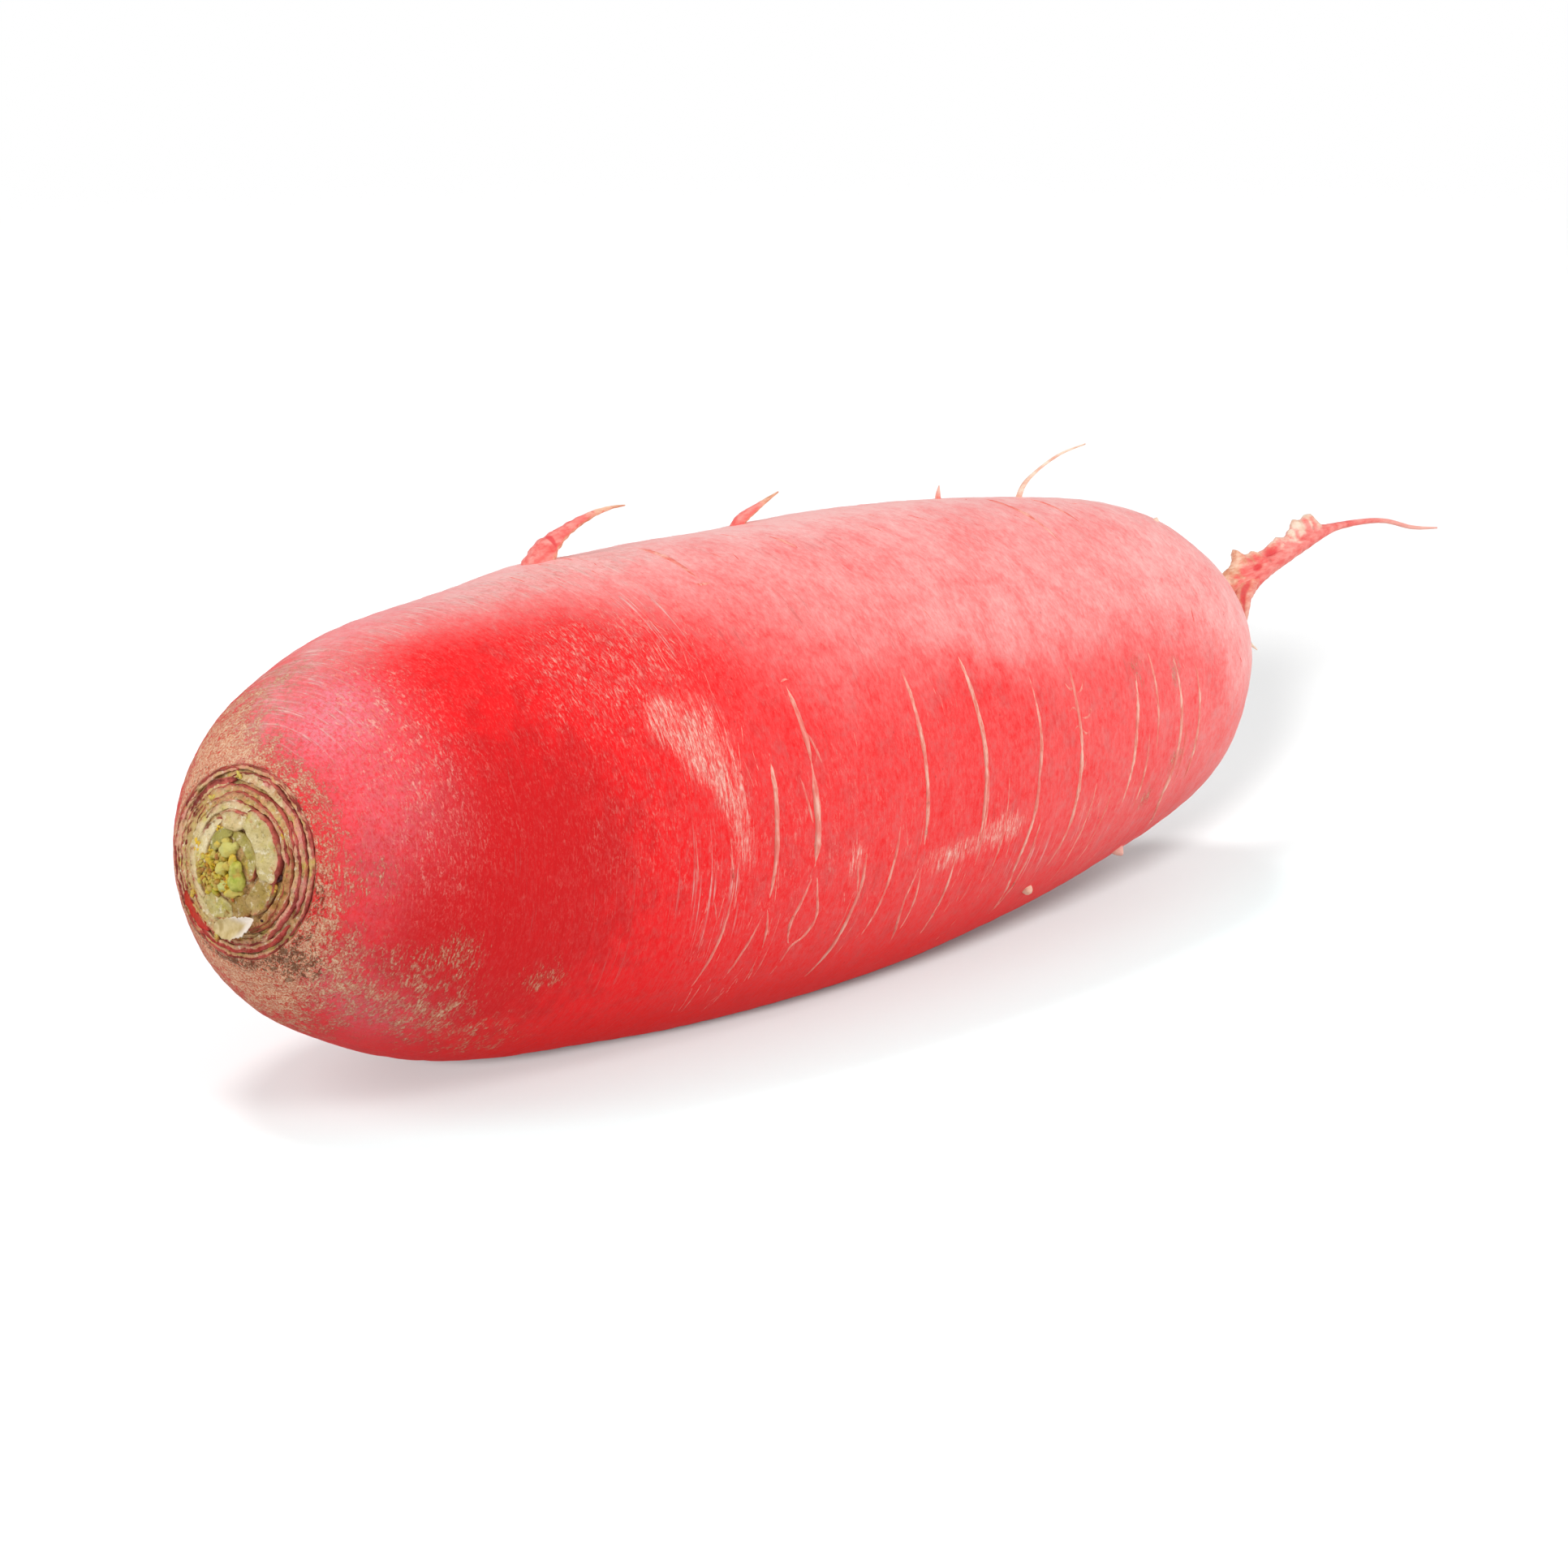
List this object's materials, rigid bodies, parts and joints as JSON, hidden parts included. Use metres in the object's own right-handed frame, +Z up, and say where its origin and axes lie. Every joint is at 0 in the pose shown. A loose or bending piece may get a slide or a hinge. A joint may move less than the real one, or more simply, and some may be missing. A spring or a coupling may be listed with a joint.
{
  "type": "radish",
  "caption": "Long red radish lying on its side, with cut leaf bases at the crown, a taproot tail and side rootlets, and a flat patch of skin to rest on.",
  "frame": {"origin": "on the resting surface, under the middle of the overall box", "axes": "+X along the root from the crown towards the tail, +Z up"},
  "size_m": [0.2598, 0.068, 0.0721],
  "materials": {
    "skin": "satin",
    "leaf_scale": "matte",
    "cut_stalk": "matte",
    "dry_flake": "matte",
    "bud": "satin"
  },
  "bodies": {
    "root": {"radish_root": "skin", "leaf_base_outer_right": "leaf_scale", "leaf_base_outer_left": "leaf_scale", "leaf_base_outer_top": "leaf_scale", "leaf_base_outer_low": "leaf_scale", "leaf_base_outer_bottom": "leaf_scale", "leaf_base_right": "cut_stalk", "leaf_base_top": "cut_stalk", "leaf_base_below": "cut_stalk", "leaf_base_left": "cut_stalk", "leaf_base_inner": "cut_stalk", "torn_leaf_flake": "dry_flake", "bud_leaf_low": "bud", "bud_leaf_high": "bud", "bud_crumbs": "bud"}
  },
  "joints": []
}
